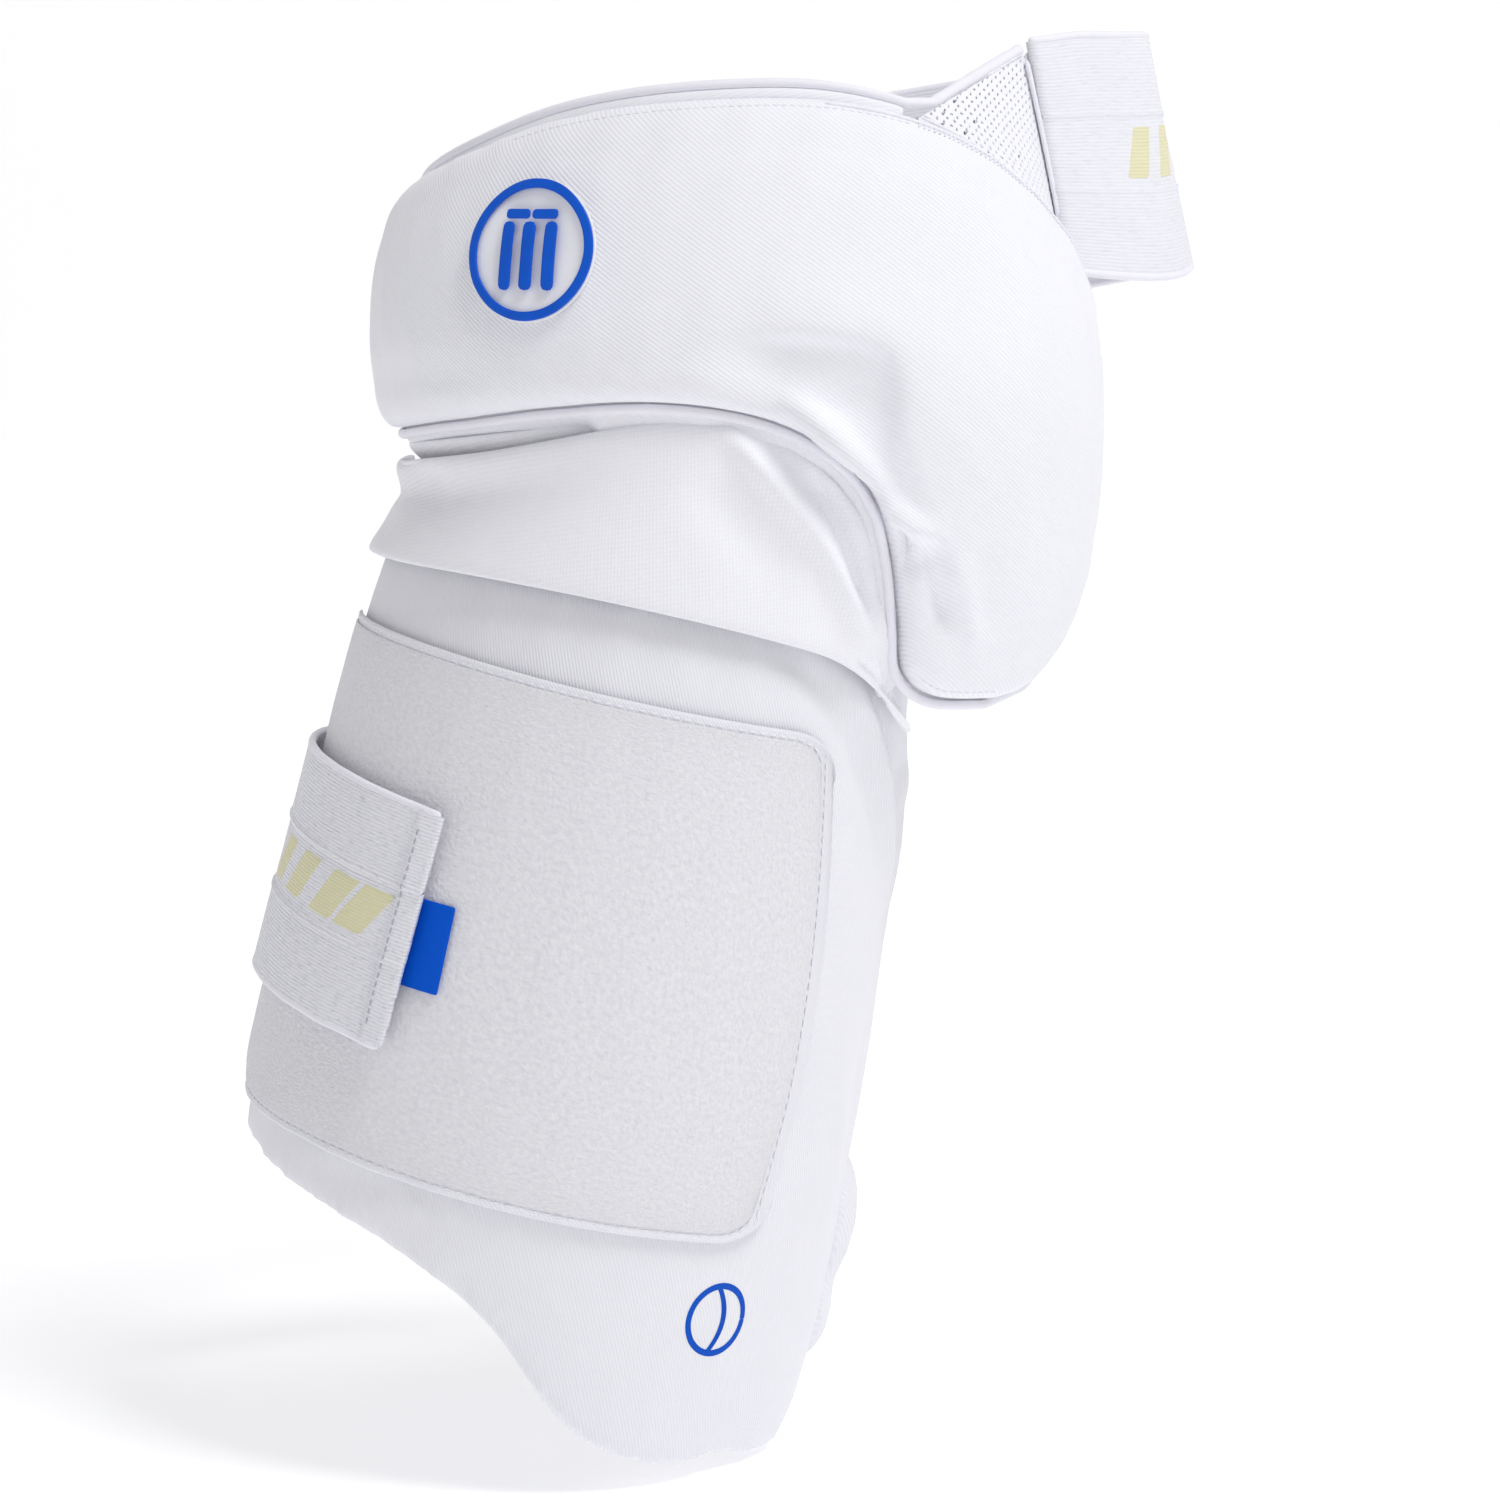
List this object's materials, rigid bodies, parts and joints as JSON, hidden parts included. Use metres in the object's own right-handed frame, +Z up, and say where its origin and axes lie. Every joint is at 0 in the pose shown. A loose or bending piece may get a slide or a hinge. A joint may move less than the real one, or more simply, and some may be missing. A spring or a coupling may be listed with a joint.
{
  "type": "cricket thigh guard",
  "caption": "Padded guard for the front of the thigh and hip, with a tongue, a kidney-shaped hip pad on a folded fabric web, and wide elastic thigh and waist straps.",
  "frame": {"origin": "on the axis of the thigh that the guard is worn on, 165 mm above the tongue's lower tip along that axis, about level with the thigh strap", "axes": "+Z up with the wearer standing, -Y to the wearer's front, +X to the side of the hip lobe and of the waist strap's seam"},
  "size_m": [0.3208, 0.2119, 0.4653],
  "materials": {
    "cover_cloth": "matt stretch knit",
    "loop_cloth": "brushed loop pile",
    "elastic": "woven elastic, ribbed along its length",
    "mesh_cloth": "perforated knit",
    "trim": "smooth binding tape",
    "hook_tape": "hook tape",
    "moulded": "soft moulded, matt",
    "blue_trim": "matt blue"
  },
  "bodies": {
    "root": {"main_pad": "cover_cloth", "side_roll": "cover_cloth", "hinge_web": "cover_cloth", "cover_fold": "cover_cloth", "hip_pad": "cover_cloth", "hip_piping": "trim", "mesh_rim": "mesh_cloth", "mesh_wing": "mesh_cloth", "wing_binding": "trim", "waist_strap": "elastic", "waist_hook_tab": "hook_tape", "loop_patch": "loop_cloth", "thigh_strap": "elastic", "thigh_hook_tab": "hook_tape", "strap_label": "blue_trim", "badge_disc": "moulded", "badge_ring": "blue_trim", "badge_wicket": "blue_trim", "tongue_print": "blue_trim"}
  },
  "joints": []
}
